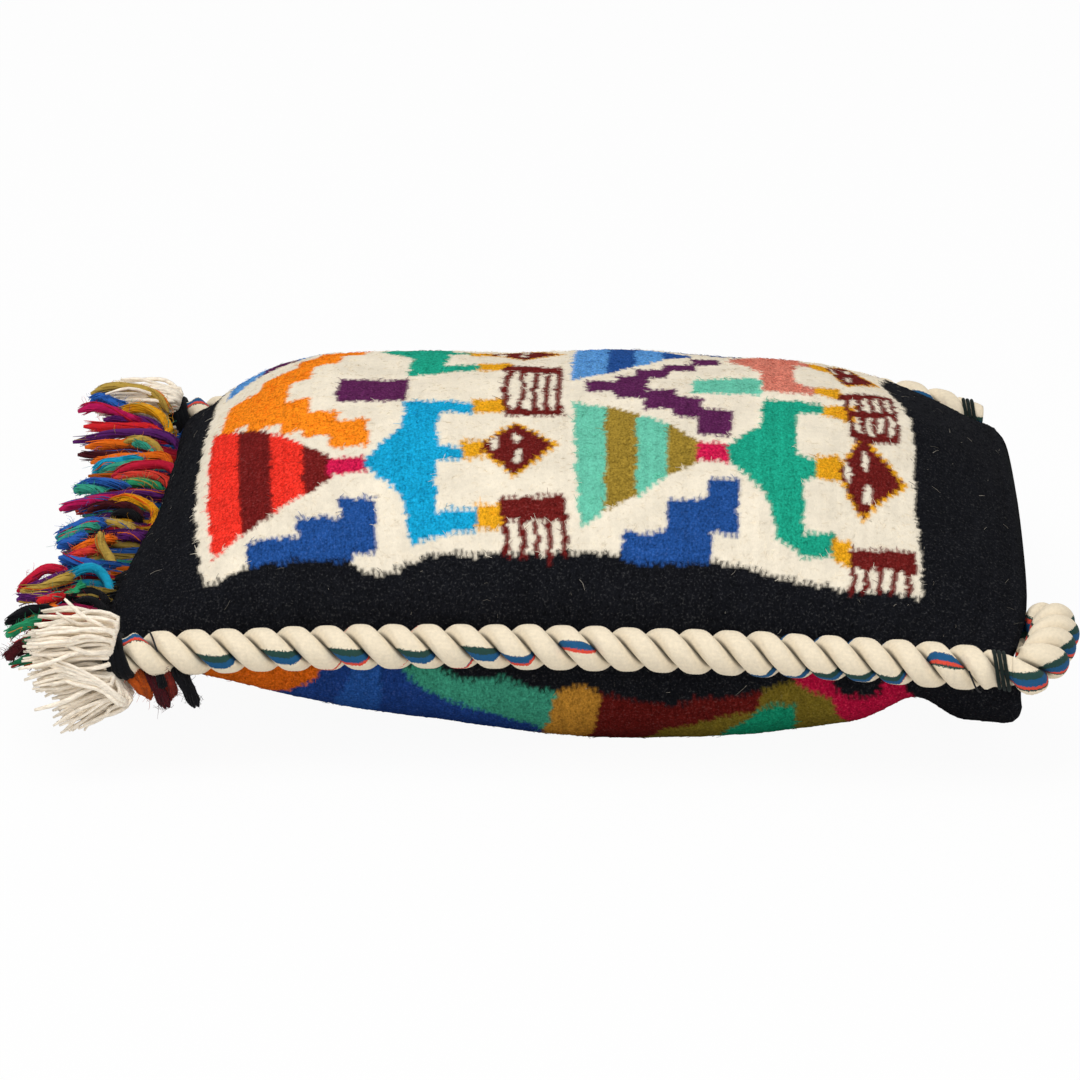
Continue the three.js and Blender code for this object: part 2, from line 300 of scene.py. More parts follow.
def weave(shapes, columns, wide, long):
    """Colour of each weft row at each step across, with the small teeth of dovetailed wefts."""
    row = np.arange(weft_rows)[:, None]
    u = (row + 0.5) * long / weft_rows + np.zeros((1, columns + 1))
    v = np.linspace(-wide / 2, wide / 2, columns + 1)[None, :] + np.zeros((weft_rows, 1))
    stray = rng.normal(0, 0.16, (weft_rows, columns + 1))
    wander = rng.normal(0, 0.45, (weft_rows, 1)) + 0.4 * np.sin(u / 9.0 + v / 31.0) + stray
    tooth = np.where(row % 2 == 0, dovetail, -dovetail)
    u_true = u + 0.3 * np.sin(v / 2.7 + 4 * np.sin(v / 17.0)) + stray
    v_true = v + tooth + wander
    colours = np.empty((weft_rows, columns + 1, 3))
    colours[:] = linear(wool["black"])
    for name, corners in shapes:
        colours[inside(corners, u_true, v_true)] = linear(wool[name])
    # Each weft row took up the dye a little differently, and the white wool was never dyed
    dye = 1 + rng.normal(0, 0.05, (weft_rows, 1, 1))
    dye = dye + rng.normal(0, 0.06, (weft_rows, columns + 1, 1))
    undyed = colours.min(axis=2, keepdims=True) > 0.5
    return colours * np.clip(np.where(undyed, 0.6 + 0.4 * dye, dye), 0.75, 1.2)


def new_piece(name, points, faces, material):
    mesh = bpy.data.meshes.new(name)
    mesh.from_pydata((np.asarray(points) * 0.001).tolist(), [], faces)
    piece = bpy.data.objects.new(name, mesh)
    scene.collection.objects.link(piece)
    mesh.materials.append(material)
    mesh.shade_smooth()
    return piece


def paint(piece, colours, domain="CORNER"):
    """Keeps a wool colour for every corner or point of the mesh, with painted shade in it on the ropes
    and the deeper fringe locks.
    """
    rgba = np.ones((len(colours), 4), dtype=np.float32)
    rgba[:, :3] = colours
    layer = piece.data.color_attributes.new("wool_colour_and_shade", "FLOAT_COLOR", domain)
    layer.data.foreach_set("color", rgba.ravel())


def sheet_of_cloth(name, side, rise_at, fullness_at, shapes, wide, long, give, material):
    """A panel with both its faces, joined at the seams, the bottom and the turned mouth edge."""
    outer = cloth_face(rise_at, fullness_at, side, warp_columns, 0)
    inner = cloth_face(rise_at, fullness_at, side, reverse_columns, 1)
    outer = settle(outer, side, give)
    inner = settle(inner, side, give)
    # Hand-spun wefts never lie quite even
    outer[2:-2, 2:-2, :2] += rng.normal(0, 0.24, outer[2:-2, 2:-2, :2].shape)
    if side < 0:
        outer[:, :, 2] = np.maximum(outer[:, :, 2], 0.0)
        inner[:, :, 2] = np.maximum(inner[:, :, 2], cloth_wall)
    for back, reach in ((0, 1.75), (1, 0.45)):
        outer[-1 - back] -= face_normals(outer, side)[-1 - back] * reach
        inner[-1 - back] += face_normals(inner, side)[-1 - back] * reach
    loop = np.concatenate([outer, inner[:, ::-1]], axis=1) - row_origin
    count = loop.shape[1]
    index = np.arange((weft_rows + 1) * count).reshape(weft_rows + 1, count)
    ahead = np.roll(index, -1, axis=1)
    quads = np.stack([index[:-1], index[1:], ahead[1:], ahead[:-1]], axis=2)
    shown = weave(shapes, warp_columns, wide, long)
    colours = np.concatenate([shown, weave(shapes, reverse_columns, wide, long)[:, ::-1]], axis=1)
    # Felting lets each weft row bleed a little into the next
    before = 0.7 * colours + 0.3 * np.concatenate([colours[:1], colours[:-1]])
    after = 0.7 * colours + 0.3 * np.concatenate([colours[1:], colours[-1:]])
    painted = np.stack([before, after, np.roll(after, -1, axis=1), np.roll(before, -1, axis=1)],
                       axis=2)
    if side < 0:
        quads = quads[:, :, ::-1]
        painted = painted[:, :, ::-1]
    faces = quads.reshape(-1, 4).tolist()
    painted = [painted.reshape(-1, 3)]
    matching = np.round(np.arange(warp_columns + 1) * reverse_columns / warp_columns).astype(int)
    for row, turned in ((0, side < 0), (weft_rows, side > 0)):
        for j in range(warp_columns):
            a, b = count - 1 - matching[j], count - 1 - matching[j + 1]
            face = [index[row, j], index[row, j + 1], index[row, b], index[row, a]]
            if a == b:
                face = face[:3]
            faces.append([int(k) for k in (face[::-1] if turned else face)])
            painted.append(np.tile(linear(wool["black"]), (len(face), 1)))
    piece = new_piece(name, loop.reshape(-1, 3), faces, material)
    paint(piece, np.concatenate(painted))
    return piece, outer - row_origin, face_normals(outer, side), shown


def add_node(tree, kind, links=(), **settings):
    """Adds one shader node, sets its values and links its inputs; a node is its first output."""
    node = tree.nodes.new("ShaderNode" + kind)
    for key, value in settings.items():
        if key.startswith("in_"):
            name = key[3:].replace("_", " ")
            socket = node.inputs[int(name)] if name.isdigit() else node.inputs[name]
            socket.default_value = value
        else:
            setattr(node, key, value)
    for socket, source in links:
        output = source.outputs[0] if isinstance(source, bpy.types.Node) else source
        tree.links.new(output, node.inputs[socket])
    return node


def empty_material(name):
    material = bpy.data.materials.new(name)
    material.use_nodes = True
    material.node_tree.nodes.clear()
    return material, material.node_tree


# Felted hand-spun wool, woven weft-faced: quite matt, with short lines of weft 1.4 mm apart that
# run across the bag, grains of felt under 1 mm, and pale lint that shows on the dark wool; the
# white wool is more even than the dyed wool
cloth_material, tree = empty_material("felted_tapestry_wool")
dyed = add_node(tree, "VertexColor", layer_name="wool_colour_and_shade")
place = add_node(tree, "TexCoord")
weft = add_node(tree, "Mapping", [("Vector", place.outputs["Object"])], in_Scale=(1300, 520, 520))
grain = add_node(tree, "TexNoise", [("Vector", weft)], in_Scale=1.0, in_Detail=3.0,
                 in_Roughness=0.65)
felt = add_node(tree, "TexNoise", [("Vector", place.outputs["Object"])], in_Scale=1100.0,
                in_Detail=2.0, in_Roughness=0.6)
blotch = add_node(tree, "TexNoise", [("Vector", place.outputs["Object"])], in_Scale=70.0,
                  in_Detail=2.0)
both = add_node(tree, "Math", [(0, grain), (1, felt)], operation="ADD")
shade = add_node(tree, "MapRange", [("Value", both)], in_From_Min=0.65, in_From_Max=1.35,
                 in_To_Min=0.45, in_To_Max=1.48)
parts = add_node(tree, "SeparateColor", [("Color", dyed)])
pale = add_node(tree, "MapRange", [("Value", parts.outputs["Green"])], in_From_Min=0.3,
                in_From_Max=0.75, in_To_Min=0.0, in_To_Max=0.9)
evened = add_node(tree, "Mix", [(0, pale), (2, shade)], in_3=1.0)
tone = add_node(tree, "MapRange", [("Value", blotch)], in_From_Min=0.3, in_From_Max=0.7,
                in_To_Min=0.94, in_To_Max=1.06)
level = add_node(tree, "Math", [(0, evened), (1, tone)], operation="MULTIPLY")
mixed = add_node(tree, "HueSaturation", [("Color", dyed), ("Value", level)])
specks = add_node(tree, "MapRange", [("Value", felt)], in_From_Min=0.57, in_From_Max=0.74,
                  in_To_Min=0.0, in_To_Max=0.11)
dark = add_node(tree, "MapRange", [("Value", parts.outputs["Green"])], in_From_Min=0.02,
                in_From_Max=0.3, in_To_Min=1.0, in_To_Max=0.2)
lint = add_node(tree, "Math", [(0, specks), (1, dark)], operation="MULTIPLY")
linted = add_node(tree, "Mix", [(0, lint), (6, mixed)], data_type="RGBA",
                  in_7=(0.30, 0.29, 0.27, 1))
bump = add_node(tree, "Bump", [("Height", both)], in_Strength=0.45, in_Distance=0.0006)
wool_shader = add_node(tree, "BsdfPrincipled",
                       [("Base Color", linted.outputs[2]), ("Normal", bump)], in_Roughness=1.0)
wool_shader.inputs["Specular IOR Level"].default_value = 0.02
add_node(tree, "OutputMaterial", [("Surface", wool_shader)])

front_panel, front_grid, front_normals, front_colours = sheet_of_cloth(
    "front_panel_cloth", 1, front_rise, front_fullness, front_shapes, front_wide, front_long, 1.0,
    cloth_material)
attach(front_panel, "root")
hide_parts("front_panel")

# ---------------------------------------------------------------------------------------------
# Back panel. A second piece of the same wool tapestry, in broad bands of colour with slanting
# edges and a black border. The bag lies on it, so it is flat underneath, with a waist behind
# the mouth.
# ---------------------------------------------------------------------------------------------
belly_depth, belly_run, belly_fall_start, lower_lip_depth = 63, 200, 170, 43
waist_place, waist_span, waist_depth = 297, 14, 14
# The width that the bands are drawn over, a little more than the mean width of the cloth
back_wide, back_long = 310, 352


def back_rise(s):
    waist = np.exp(-((s - waist_place) / waist_span) ** 2)
    return (edge_height + (belly_depth - edge_height) * round_rise(s / belly_run)
            - (belly_depth - lower_lip_depth) * ease(s, belly_fall_start, bag_length)
            - waist_depth * waist)


def back_fullness(s):
    return 3.2


# Each band lies beyond its edge, which is drawn from the side seam to the middle and mirrored
bands = [
    ("rust", [(34, 155), (34, 0)]),
    ("navy", [(84, 155), (79, 138), (62, 124), (52, 100), (66, 60), (52, 30), (66, 0)]),
    ("blue", [(93, 155), (92, 140), (86, 124), (84, 110), (84, 0)]),
    ("navy", [(104, 155), (104, 124), (100, 105), (98, 0)]),
    ("teal", [(110, 155), (111.6, 143), (117, 136), (121, 132), (131, 127.6), (142, 124), (163, 112.6),
              (166, 100), (150, 70), (140, 35), (120, 0)]),
    ("ochre", [(176, 155), (172.5, 133), (165.4, 110.6), (160, 80), (168, 40), (156, 0)]),
    ("wine", [(193, 155), (190, 134), (184.5, 112), (176, 80), (190, 40), (180, 0)]),
    ("moss", [(258, 155), (254.4, 137), (250, 127), (236, 124), (212, 112.6), (200, 96), (220, 60),
              (206, 0)]),
    ("ruby", [(266.5, 155), (266.5, 142), (281, 134), (280, 124.5), (285, 100), (270, 60),
              (280, 0)]),
    ("black", [(311, 155), (311, 0)]),
]
fields = [(name, edge + [(400, 0), (400, 155)]) for name, edge in bands]
# A leaf lies on the bands, and the black border bites into them along the seams
fields += [
    ("leaf", [(256, 130.2), (265, 130.7), (262, 114.7), (258, 90), (240, 60), (225, 90), (235, 113),
              (250, 126)]),
    ("black", [(111, 155), (111.6, 143.5), (127, 142.6), (136, 139), (153.4, 139.5), (164, 133.8),
               (171.5, 133.3), (183, 137), (190, 134), (205, 129.7), (217.7, 128), (228, 132.8),
               (242, 133.8), (253, 136.4), (266.5, 142), (266.5, 155)]),
    ("black", [(282, 140), (288, 135.4), (295, 135.9), (301.7, 139), (301, 155), (282, 155)]),
]
back_shapes = []
for name, corners in fields:
    back_shapes += [(name, corners), (name, mirrored(corners, 0))]

back_panel, back_grid, back_normals, back_colours = sheet_of_cloth(
    "back_panel_cloth", -1, back_rise, back_fullness, back_shapes, back_wide, back_long, 0.8,
    cloth_material)
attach(back_panel, "root")
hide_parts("back_panel")

# ---------------------------------------------------------------------------------------------
# Edge ropes. Two thick plies of soft cream wool laid together to 17 mm, one turn in 25 mm, sewn
# along each side seam. The plies press flat on each other. A few dyed threads run in each ply,
# almost in line with the rope as in any hard-laid rope, and the ends narrow under their whippings.
# ---------------------------------------------------------------------------------------------
rope_radius, rope_lead, lay_start = 8.5, 25.1, -3.7
ply_sides, ply_centre, ply_reach, ply_breadth = 30, 4.0, 4.5, 6.05
bag_sides = (("right", -1), ("left", 1))


def frames_along(line, first_side):
    """Two cross directions at every point of a line, carried along it without twist."""
    ahead = np.gradient(line, axis=0)
    ahead /= np.linalg.norm(ahead, axis=1, keepdims=True)
    side = np.empty_like(line)
    current = np.array(first_side, float)
    for i, direction in enumerate(ahead):
        current = current - direction * (current @ direction)
        current /= np.linalg.norm(current)
        side[i] = current
    return side, np.cross(ahead, side)


# A ply's section, round outside and flatter where it presses on the other, from the rope's axis
around = np.linspace(-np.pi, np.pi, ply_sides, endpoint=False)
flatness = np.where(np.cos(around) >= 0, 2.0, 2.6)
ply_out = ply_centre + ply_reach * np.sign(np.cos(around)) * np.abs(np.cos(around)) ** (2 / flatness)
ply_round = ply_breadth * np.sign(np.sin(around)) * np.abs(np.sin(around)) ** (2 / flatness)
thread_place = np.clip(0.335 * np.arctan2(ply_round, ply_out), -0.5, 0.5)
thread_place[0] = -0.5
# Painted shade: the ply is darkened where it turns in towards the crease against the other ply
crease_shade = 0.3 + 0.7 * np.clip((np.hypot(ply_out, ply_round) - 4.7) / 1.1, 0, 1)
# The dyed threads at each place where the ply comes up: where they start, and which of them show
first_ply_threads = [
    (-0.5, 0.106, 0.3), (0.06, 0, 0.225), (0.02, 0, 0.225), (0.015, 0, 0.28), (0.05, 0, 0.225),
    (0.0, 0, 0.225), (0, 0, 0), (0, 0, 0), (0, 0, 0), (0.26, 0.106, 0.225), (0.25, 0, 0.225),
    (0.22, 0, 0.225), (-0.30, 0.106, 0.32), (0, 0, 0.32)]
second_ply_threads = [
    (0, 0, 0), (0, 0, 0), (0.2, 0.225, 0.28), (0.2, 0.225, 0.225), (0.2, 0.225, 0.28),
    (0.02, 0.106, 0.28), (-0.216, 0.106, 0.28), (0, 0, 0), (0, 0, 0), (0.26, 0.106, 0.225),
    (0.24, 0, 0.225), (0.24, 0.106, 0.106), (0, 0, 0), (0, 0, 0.32)]
first_rise = 7.4


def threads_along(run, threads, first):
    """Where the threads start in the ply, and the first and last of them that show."""
    rise = first + rope_lead * np.arange(len(threads))
    knots = np.stack([rise - 7, rise + 7], axis=1).ravel()
    return [np.interp(run, knots, np.repeat([entry[k] for entry in threads], 2)) for k in range(3)]


def quad_corners(rings):
    """What a grid of rings holds at the four corners of each of its faces."""
    after = np.roll(rings, -1, axis=1)
    return np.stack([rings[:-1], after[:-1], after[1:], rings[1:]], axis=2)


def laid_rope(name, line, run, neck, material):
    """Two plies wound round a line; run is the length along it and neck its narrowing."""
    side, up = frames_along(line, (0, 1, 0))
    shape = len(line), ply_sides
    points, faces, shades, threads = [], [], [], []
    for ply, ply_threads in enumerate((first_ply_threads, second_ply_threads)):
        turn = 2 * np.pi * (run - lay_start) / rope_lead + np.pi * ply
        out = np.cos(turn)[:, None] * side + np.sin(turn)[:, None] * up
        round_it = np.cos(turn)[:, None] * up - np.sin(turn)[:, None] * side
        swell = neck * (1 + 0.02 * np.sin(run / 4.7 + 2 * ply) + 0.014 * np.sin(run / 11.3))
        ring = (line[:, None] + out[:, None] * (swell[:, None] * ply_out)[:, :, None]
                + round_it[:, None] * (swell[:, None] * ply_round)[:, :, None])
        index = ply * len(line) * ply_sides + np.arange(len(line) * ply_sides).reshape(shape)
        points.append(ring.reshape(-1, 3))
        faces += quad_corners(index).reshape(-1, 4).tolist()
        faces += [index[0, ::-1].tolist(), index[-1].tolist()]
        start, lowest, highest = threads_along(run, ply_threads, first_rise + rope_lead / 2 * ply)
        lay = quad_corners(thread_place[None, :] + (turn / np.pi - 0.885 - start)[:, None])
        lay[:, -1, 1:3] += 1
        length = quad_corners(np.broadcast_to(run[:, None] * 0.001, shape))
        threads += [np.stack([length, lay], axis=3).reshape(-1, 2),
                    np.full((2 * ply_sides, 2), 0.6)]
        # Painted crease shade and the first and last dyed thread that shows, at every corner; the end
        # caps get painted shade 0.8
        level = np.stack([np.broadcast_to(part, shape) for part in
                          (crease_shade, lowest[:, None], highest[:, None])], axis=2)
        shades += [quad_corners(level).reshape(-1, 3), np.full((2 * ply_sides, 3), (0.8, 0, 0))]
    piece = new_piece(name, np.concatenate(points) - row_origin, faces, material)
    paint(piece, np.concatenate(shades))
    layer = piece.data.uv_layers.new(name="lay_of_the_threads")
    layer.data.foreach_set("uv", np.concatenate(threads).astype(np.float32).ravel())
    return piece


# Soft cream wool roving, lightly felted: matt and warm, with faint lines of yarn 1.5 mm apart that
# follow the lay, a green, blue, coral and green thread in each ply, and painted shade in the creases
rope_material, tree = empty_material("cream_wool_rope")
laid = add_node(tree, "VertexColor", layer_name="wool_colour_and_shade")
shown = add_node(tree, "SeparateColor", [("Color", laid)])
place = add_node(tree, "TexCoord")
lay = add_node(tree, "UVMap", uv_map="lay_of_the_threads")
turns = add_node(tree, "SeparateXYZ", [("Vector", lay)])
fibre = add_node(tree, "TexNoise", [("Vector", place.outputs["Object"])], in_Scale=700.0,
                 in_Detail=3.0, in_Roughness=0.6)
fluff = add_node(tree, "TexNoise", [("Vector", place.outputs["Object"])], in_Scale=1700.0,
                 in_Detail=2.0, in_Roughness=0.6)
stray = add_node(tree, "MapRange", [("Value", fluff)], in_From_Min=0.25, in_From_Max=0.75,
                 in_To_Min=-0.022, in_To_Max=0.022)
where = add_node(tree, "Math", [(0, turns.outputs["Y"]), (1, stray)], operation="ADD")
which = add_node(tree, "Math", [(0, where)], operation="FRACT")
ramp = add_node(tree, "ValToRGB", [("Fac", which)])
ramp.color_ramp.interpolation = "CONSTANT"
ramp.color_ramp.elements[0].color = (*linear("#2c4a44"), 1)
ramp.color_ramp.elements[1].position = 0.106
ramp.color_ramp.elements[1].color = (*linear("#255a86"), 1)
for start, thread in ((0.225, "#e2503f"), (0.28, "#2c4a44")):
    ramp.color_ramp.elements.new(start).color = (*linear(thread), 1)
above = add_node(tree, "Math", [(0, which), (1, shown.outputs["Green"])], operation="GREATER_THAN")
below = add_node(tree, "Math", [(0, which), (1, shown.outputs["Blue"])], operation="LESS_THAN")
threads = add_node(tree, "Math", [(0, above), (1, below)], operation="MULTIPLY")
wools = add_node(tree, "Mix", [(0, threads), (7, ramp)], data_type="RGBA",
                 in_6=(*linear("#f3e4c9"), 1))
yarns_round = 15
yarn = add_node(tree, "Math", [(0, turns.outputs["Y"])], operation="MULTIPLY",
                in_1=2 * math.pi * yarns_round)
ridge = add_node(tree, "Math", [(0, yarn)], operation="SINE")
height = add_node(tree, "Math", [(0, ridge), (2, fibre)], operation="MULTIPLY_ADD", in_1=0.035)
shade = add_node(tree, "MapRange", [("Value", height)], in_From_Min=0.25, in_From_Max=0.75,
                 in_To_Min=0.9, in_To_Max=1.06)
mixed = add_node(tree, "HueSaturation", [("Color", wools.outputs[2]), ("Value", shade)])
# The red channel of the colour attribute is the painted crease shade, multiplied into the wool's colour
painted_crease_shade = add_node(tree, "Mix", [(6, mixed), (7, shown.outputs["Red"])], data_type="RGBA",
                blend_type="MULTIPLY", in_0=1.0)
bump = add_node(tree, "Bump", [("Height", height)], in_Strength=0.4, in_Distance=0.0006)
rope_shader = add_node(tree, "BsdfPrincipled", [("Base Color", painted_crease_shade.outputs[2]), ("Normal", bump)],
                       in_Roughness=0.95, in_Sheen_Weight=0.05, in_Sheen_Roughness=0.4)
rope_shader.inputs["Specular IOR Level"].default_value = 0.1
add_node(tree, "OutputMaterial", [("Surface", rope_shader)])


def rope_line(s, side):
    s = np.asarray(s, float)
    spread = half_width(np.clip(s, 0, bag_length)) + rope_radius + 0.3
    return np.stack([s, side * spread, seam_z(s) + (side > 0) * left_lift(s)], axis=-1)


rope_run = np.linspace(-6.6, 333.0, 300)
tied_neck = 0.74
rope_neck = tied_neck + 0.26 * ease(rope_run, 0, 5) * (1 - ease(rope_run, 322.5, 326.5))
for word, side in bag_sides:
    rope = laid_rope(f"{word}_edge_rope_plies", rope_line(rope_run, side), rope_run, rope_neck,
                     rope_material)
    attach(rope, "root")
    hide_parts(f"{word}_edge_rope")

# ---------------------------------------------------------------------------------------------
# Shoulder strap. The same rope goes on from the right mouth corner in a tight loop, is tucked
# into the mouth, lies folded on the cloth inside and ends sewn inside the left mouth corner.
# ---------------------------------------------------------------------------------------------
strap_from = 332.2
strap_start = rope_line(strap_from, -1)
strap_route = np.array([
    strap_start, strap_start + (5.2, 0.2, 0.1), [343, -136.8, 50], [346.6, -126, 51.2],
    [349, -114, 51.4], [350, -103.5, 51], [346.8, -93.5, 48.2], [340.8, -86, 43.6],
    [333.5, -82, 41], [325, -80.5, 40.2], [296, -84, 36.5], [262, -87, 24], [225, -88, 14.5],
    [190, -86, 13.5], [166, -78, 13.5], [156, -58, 13.5], [166, -38, 13.5], [190, -30, 13.5],
    [222, -30, 13.5], [250, -25, 13.5], [264, 0, 14], [250, 25, 13.5], [222, 30, 13.5],
    [190, 30, 13.5], [166, 38, 13.5], [156, 58, 13.5], [166, 78, 13.5], [190, 86, 13.5],
    [225, 85, 15.5], [262, 84, 26.5], [292, 86, 40], [310, 94, 43], [317, 106, 43.5],
    [319, 115, 43.5]])


def smooth_route(points, steps):
    """A rounded curve through the points, each span eased by the distances to its neighbours."""
    ends = np.concatenate([[2 * points[0] - points[1]], points, [2 * points[-1] - points[-2]]])
    curve = []
    for p0, p1, p2, p3 in zip(ends, ends[1:], ends[2:], ends[3:]):
        d0, d1, d2 = (np.linalg.norm(b - a) ** 0.5 for a, b in ((p0, p1), (p1, p2), (p2, p3)))
        out = ((p1 - p0) / d0 - (p2 - p0) / (d0 + d1) + (p2 - p1) / d1) * d1
        into = ((p2 - p1) / d1 - (p3 - p1) / (d1 + d2) + (p3 - p2) / d2) * d1
        t = np.linspace(0, 1, steps, endpoint=False)[:, None]
        curve.append((2 * t ** 3 - 3 * t ** 2 + 1) * p1 + (t ** 3 - 2 * t ** 2 + t) * out
                     + (3 * t ** 2 - 2 * t ** 3) * p2 + (t ** 3 - t ** 2) * into)
    return np.concatenate(curve + [points[-1:]])


strap_line = smooth_route(strap_route, 24)
strap_length = float(np.sum(np.linalg.norm(np.diff(strap_line, axis=0), axis=1)))
strap_step, seen_steps = 1.1, 130
strap_line = even_steps(strap_line, int(strap_length / strap_step))
strap_run = strap_from + np.linspace(0, strap_length, len(strap_line))
strap_neck = tied_neck + 0.38 * ease(strap_run, 331, 338) - 0.12 * ease(strap_run, 384, 398)
# The rope inside the bag, which is hardly seen, is drawn in steps twice as long
drawn = np.r_[0:seen_steps, seen_steps:len(strap_line) - 1:2, len(strap_line) - 1]
strap = laid_rope("shoulder_strap_rope", strap_line[drawn], strap_run[drawn], strap_neck[drawn],
                  rope_material)
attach(strap, "root")
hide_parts("shoulder_strap")

# ---------------------------------------------------------------------------------------------
# Whippings and stitches. Thick black wool yarn is wound four times round each rope end at the
# bottom corners, a thinner dark thread ties the rope at each mouth corner, and here and there a
# stitch of the thread that sews the rope to the seam shows on top of it.
# ---------------------------------------------------------------------------------------------
yarn_turn = 0.9
# Where each lies along the rope, its turns, yarn radius, coil radius, slant, width and dye
whippings = {"bottom": (-2.6, 4, 1.4, 7.6, 0.3, 8.4, "#131417"),
             "mouth": (328.6, 3, 0.75, 6.9, 0.12, 5.2, "#1d2624")}
# Where each stitch lies along the rope, its lean, and the angles round the rope where it shows
stitch_places = ((13.0, 3.2, 1.4, 2.7), (315.0, 3.4, 2.9, 4.3))
stitch_radius, thread_radius = 8.8, 0.36


def yarn_tubes(name, lines, radii, sides, colours, material, ply_depth=0.0, first=None):
    """Yarns along lines, all in one mesh; their two plies show as a winding ridge."""
    lines = np.asarray(lines, float)
    count, rings = lines.shape[:2]
    radii = np.broadcast_to(np.asarray(radii, float), (count, rings))
    ahead = np.gradient(lines, axis=1)
    ahead /= np.maximum(np.linalg.norm(ahead, axis=2, keepdims=True), 1e-9)
    across = np.empty_like(lines)
    current = np.cross(ahead[:, 0], np.array([0.31, 0.82, 0.48])) if first is None else first
    for i in range(rings):
        current = current - ahead[:, i] * np.sum(current * ahead[:, i], axis=1, keepdims=True)
        current = current / np.maximum(np.linalg.norm(current, axis=1, keepdims=True), 1e-9)
        across[:, i] = current
    over = np.cross(ahead, across)
    angle = np.linspace(0, 2 * np.pi, sides, endpoint=False)
    winding = angle[None, :] - yarn_turn * np.arange(rings)[:, None]
    spread = radii[:, :, None] * (1 + ply_depth * np.cos(2 * winding))[None]
    ring = (lines[:, :, None] + spread[:, :, :, None]
            * (np.cos(angle)[:, None] * across[:, :, None]
               + np.sin(angle)[:, None] * over[:, :, None]))
    index = np.arange(count * rings * sides).reshape(count, rings, sides)
    after = np.roll(index, -1, axis=2)
    quads = np.stack([index[:, :-1], after[:, :-1], after[:, 1:], index[:, 1:]], axis=3)
    faces = quads.reshape(-1, 4).tolist()
    faces += index[:, 0, ::-1].tolist() + index[:, -1].tolist()
    piece = new_piece(name, ring.reshape(-1, 3) - row_origin, faces, material)
    paint(piece, np.broadcast_to(colours, (count, rings, sides, 3)).reshape(-1, 3), "POINT")
    return piece


# Spun wool yarn: matt, with fibres in streaks under a millimetre wide and a soft bloom
yarn_material, tree = empty_material("spun_wool_yarn")
dyed = add_node(tree, "VertexColor", layer_name="wool_colour_and_shade")
place = add_node(tree, "TexCoord")
streak = add_node(tree, "Mapping", [("Vector", place.outputs["Object"])],
                  in_Scale=(330, 1100, 1100))
fibre = add_node(tree, "TexNoise", [("Vector", streak)], in_Scale=1.0, in_Detail=3.0,
                 in_Roughness=0.65)
shade = add_node(tree, "MapRange", [("Value", fibre)], in_From_Min=0.3, in_From_Max=0.7,
                 in_To_Min=0.78, in_To_Max=1.18)
mixed = add_node(tree, "HueSaturation", [("Color", dyed), ("Value", shade)])
bump = add_node(tree, "Bump", [("Height", fibre)], in_Strength=0.5, in_Distance=0.0006)
yarn_shader = add_node(tree, "BsdfPrincipled", [("Base Color", mixed), ("Normal", bump)],
                       in_Roughness=1.0, in_Sheen_Weight=0.06, in_Sheen_Roughness=0.5)
yarn_shader.inputs["Specular IOR Level"].default_value = 0.05
add_node(tree, "OutputMaterial", [("Surface", yarn_shader)])

for word, side in bag_sides:
    for end, (middle, turns, thick, coil_radius, slant, width, dye) in whippings.items():
        centre = rope_line(middle, side)
        wind = np.linspace(0, 2 * np.pi * turns, turns * 20 + 1)
        uneven = 0.12 * np.sin(2.3 * wind) + 0.4 * np.sin(0.77 * wind + 1)
        reach = coil_radius + thick * uneven
        coil = np.stack([centre[0] + width * (wind / wind[-1] - 0.5) - slant * reach * np.sin(wind),
                         centre[1] + reach * np.cos(wind), centre[2] + reach * np.sin(wind)], axis=1)
        whipping = yarn_tubes(f"{word}_{end}_whipping_yarn", coil[None], thick, 10, linear(dye),
                              yarn_material, 0.08)
        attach(whipping, "root")
        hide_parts(f"{word}_{end}_whipping")

stitches = []
for s, lean, low, high in stitch_places:
    angle = np.linspace(low, high, 22)
    centre = rope_line(s + lean * (angle - 2.6), -1)
    stitches.append(centre + stitch_radius * np.stack([0 * angle, np.cos(angle), np.sin(angle)], axis=1))
stitch = yarn_tubes("right_rope_stitches", np.array(stitches), thread_radius, 6, linear("#2a2a2c"),
                    yarn_material)
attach(stitch, "root")

# ---------------------------------------------------------------------------------------------
# Rope tassels. Below its whipping each rope is left open: a great many soft cream strings, 1.8 mm
# thick and 36 mm long, that burst out over the whipping like a mop and then lie over to one side.
# ---------------------------------------------------------------------------------------------
string_count, string_steps, string_radius = 170, 13, 0.88
